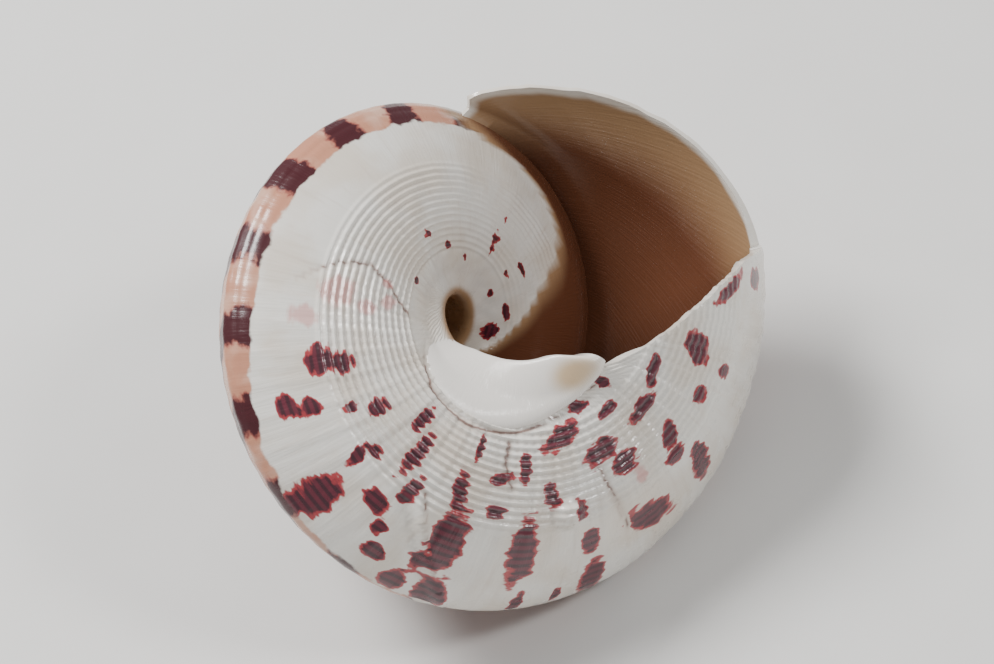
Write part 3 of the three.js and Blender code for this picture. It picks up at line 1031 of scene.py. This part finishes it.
def shell_roughness(paint, place):
    """Uneven gloss, smoother on the nacre and the callus."""
    dull = paint.math("MULTIPLY_ADD", paint.noise(place, scale=420.0), DULLEST_ADDED, DULL)
    smooth = paint.math("ADD", paint.field("nacre"), paint.field("callus"))
    return paint.math("SUBTRACT", dull, paint.step(smooth, low=0.2, high=1.0, top=GLAZE_SHINE))


def shell_material():
    paint = Painter("top_shell")
    place = paint.object_place()
    grown = paint.field("grown", "Vector")
    lines = paint.grown_noise(grown, per_turn=520.0, per_mm=0.25, detail=4.0)
    paint.finish("Base Color", shell_colour(paint, place, grown))
    paint.finish("Roughness", shell_roughness(paint, place))
    paint.finish("Coat Weight", COAT)
    paint.finish("Coat Roughness", COAT_DULL)
    paint.finish("Normal", paint.bump(lines, LINE_BUMP, LINE_BUMP_STRENGTH))
    return paint.material


def floor_material():
    paint = Painter("pale_floor")
    grain = paint.noise(paint.object_place(), scale=60.0)
    paint.finish("Base Color", paint.mix(grain, FLOOR_GREY, FLOOR_PALE))
    paint.finish("Roughness", FLOOR_DULL)
    return paint.material


# Floor, camera and lights, laid out from where the lens sees the shell

def studio_floor():
    deselect_all()
    bpy.ops.mesh.primitive_plane_add(size=FLOOR_SIZE)
    floor = bpy.context.object
    floor.name = "floor"
    floor.data.materials.append(floor_material())
    return floor


def camera_turn():
    """Columns are the camera's axes in the frame in which the shell lies."""
    lean, round_axis, lip = (math.radians(a) for a in (BASE_LEAN, BASE_LEAN_TURN, LIP_TURN))
    sideways = math.sin(lean)
    base_normal = np.array([
        sideways * math.cos(round_axis),
        sideways * math.sin(round_axis),
        math.cos(lean),
    ])
    first = np.array([1, 0, 0]) - base_normal[0] * base_normal
    first /= np.linalg.norm(first)
    second = np.cross(base_normal, first)
    shell_x = math.cos(lip) * first + math.sin(lip) * second
    shell_y = math.sin(lip) * first - math.cos(lip) * second
    shell_in_camera = np.stack([shell_x, shell_y, -base_normal], -1)
    return lying_turn() @ shell_in_camera.T


def add_camera(shift):
    """Adds the camera and gives back the turn of its axes."""
    turn = camera_turn()
    focal = PIXELS_PER_LIP_RADIUS * CAMERA_DISTANCE / LIP_RADIUS
    aim = np.array([AXIS_PIXEL_X - PHOTO_WIDTH / 2, PHOTO_HEIGHT / 2 - AXIS_PIXEL_Y, -focal])
    aim *= MM * CAMERA_DISTANCE / focal
    axis_end = MM * lie_down(np.array([0, 0, -SPIRE_HEIGHT])) + shift
    deselect_all()
    bpy.ops.object.camera_add()
    camera = bpy.context.object
    camera.data.sensor_width = CAMERA_SENSOR
    camera.data.lens = focal * CAMERA_SENSOR / PHOTO_WIDTH
    camera.data.clip_start = CAMERA_CLIP
    placed = Matrix(turn.tolist()).to_4x4()
    placed.translation = axis_end - turn @ aim
    camera.matrix_world = placed
    bpy.context.scene.camera = camera
    return turn


def add_softbox(name, turn, direction, distance, size, power):
    """A square light, turned to the shell."""
    away = turn @ (np.array(direction) / np.linalg.norm(direction))
    deselect_all()
    bpy.ops.object.light_add(type="AREA")
    light = bpy.context.object
    light.name = name
    light.data.size = size
    light.data.energy = power
    light.location = np.array(LIGHTS_AIM) + distance * away
    light.rotation_euler = Vector(away).to_track_quat("Z", "Y").to_euler()


def pale_world():
    world = bpy.data.worlds.new("pale_world")
    bpy.context.scene.world = world
    world.use_nodes = True
    sky = world.node_tree.nodes["Background"]
    sky.inputs["Color"].default_value = light_of(SKY)
    sky.inputs["Strength"].default_value = SKY_STRENGTH


shell = shell_body()
shift = set_down(shell)
shell.data.materials.clear()
shell.data.materials.append(shell_material())
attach(shell, "root")
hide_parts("shell")
studio_floor()
camera_axes = add_camera(shift)
add_softbox("key_light", camera_axes, **KEY_LIGHT)
add_softbox("glint_light", camera_axes, **GLINT_LIGHT)
pale_world()
